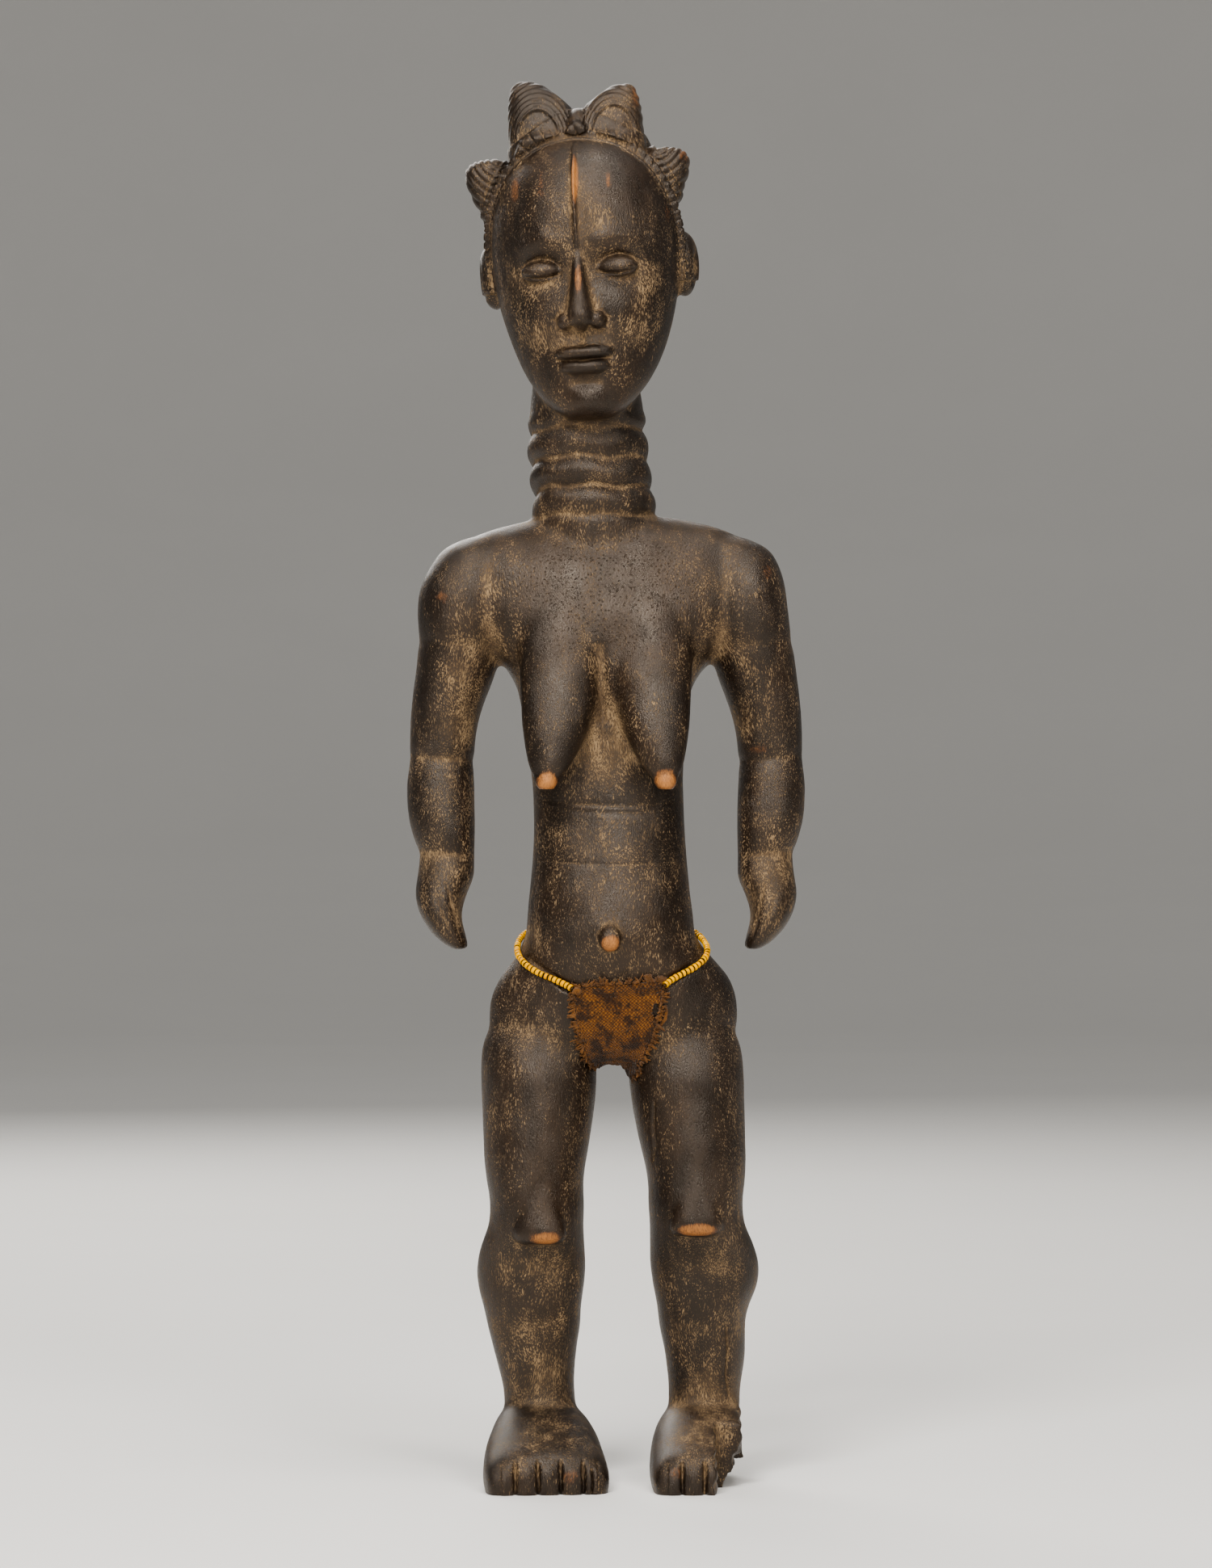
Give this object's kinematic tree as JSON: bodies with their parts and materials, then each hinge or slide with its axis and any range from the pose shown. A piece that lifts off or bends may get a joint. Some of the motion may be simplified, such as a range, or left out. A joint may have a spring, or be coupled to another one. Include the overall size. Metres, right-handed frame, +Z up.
{
  "type": "carved wooden female figure",
  "caption": "Standing carved wooden woman with crested hair, ringed neck and arms held off the body, wearing a bead string and a small loincloth; it stands on its own feet.",
  "frame": {"origin": "on the surface it stands on, under the middle of the figure's overall width and depth", "axes": "+Z up along the figure's height, -Y the way the figure faces, +X to the figure's left, which is the right of a viewer in front of it"},
  "size_m": [0.1732, 0.0992, 0.6102],
  "materials": {
    "patinated_wood": "dark brown-black patina, satin, with ochre dust in the grain and worn orange-brown high spots",
    "yellow_glass": "opaque yellow glass, glossy",
    "rough_cloth": "coarse rust-brown weave, matt, stained and frayed"
  },
  "bodies": {
    "root": {"figure": "patinated_wood", "bead_string": "yellow_glass", "loincloth": "rough_cloth"}
  },
  "joints": []
}
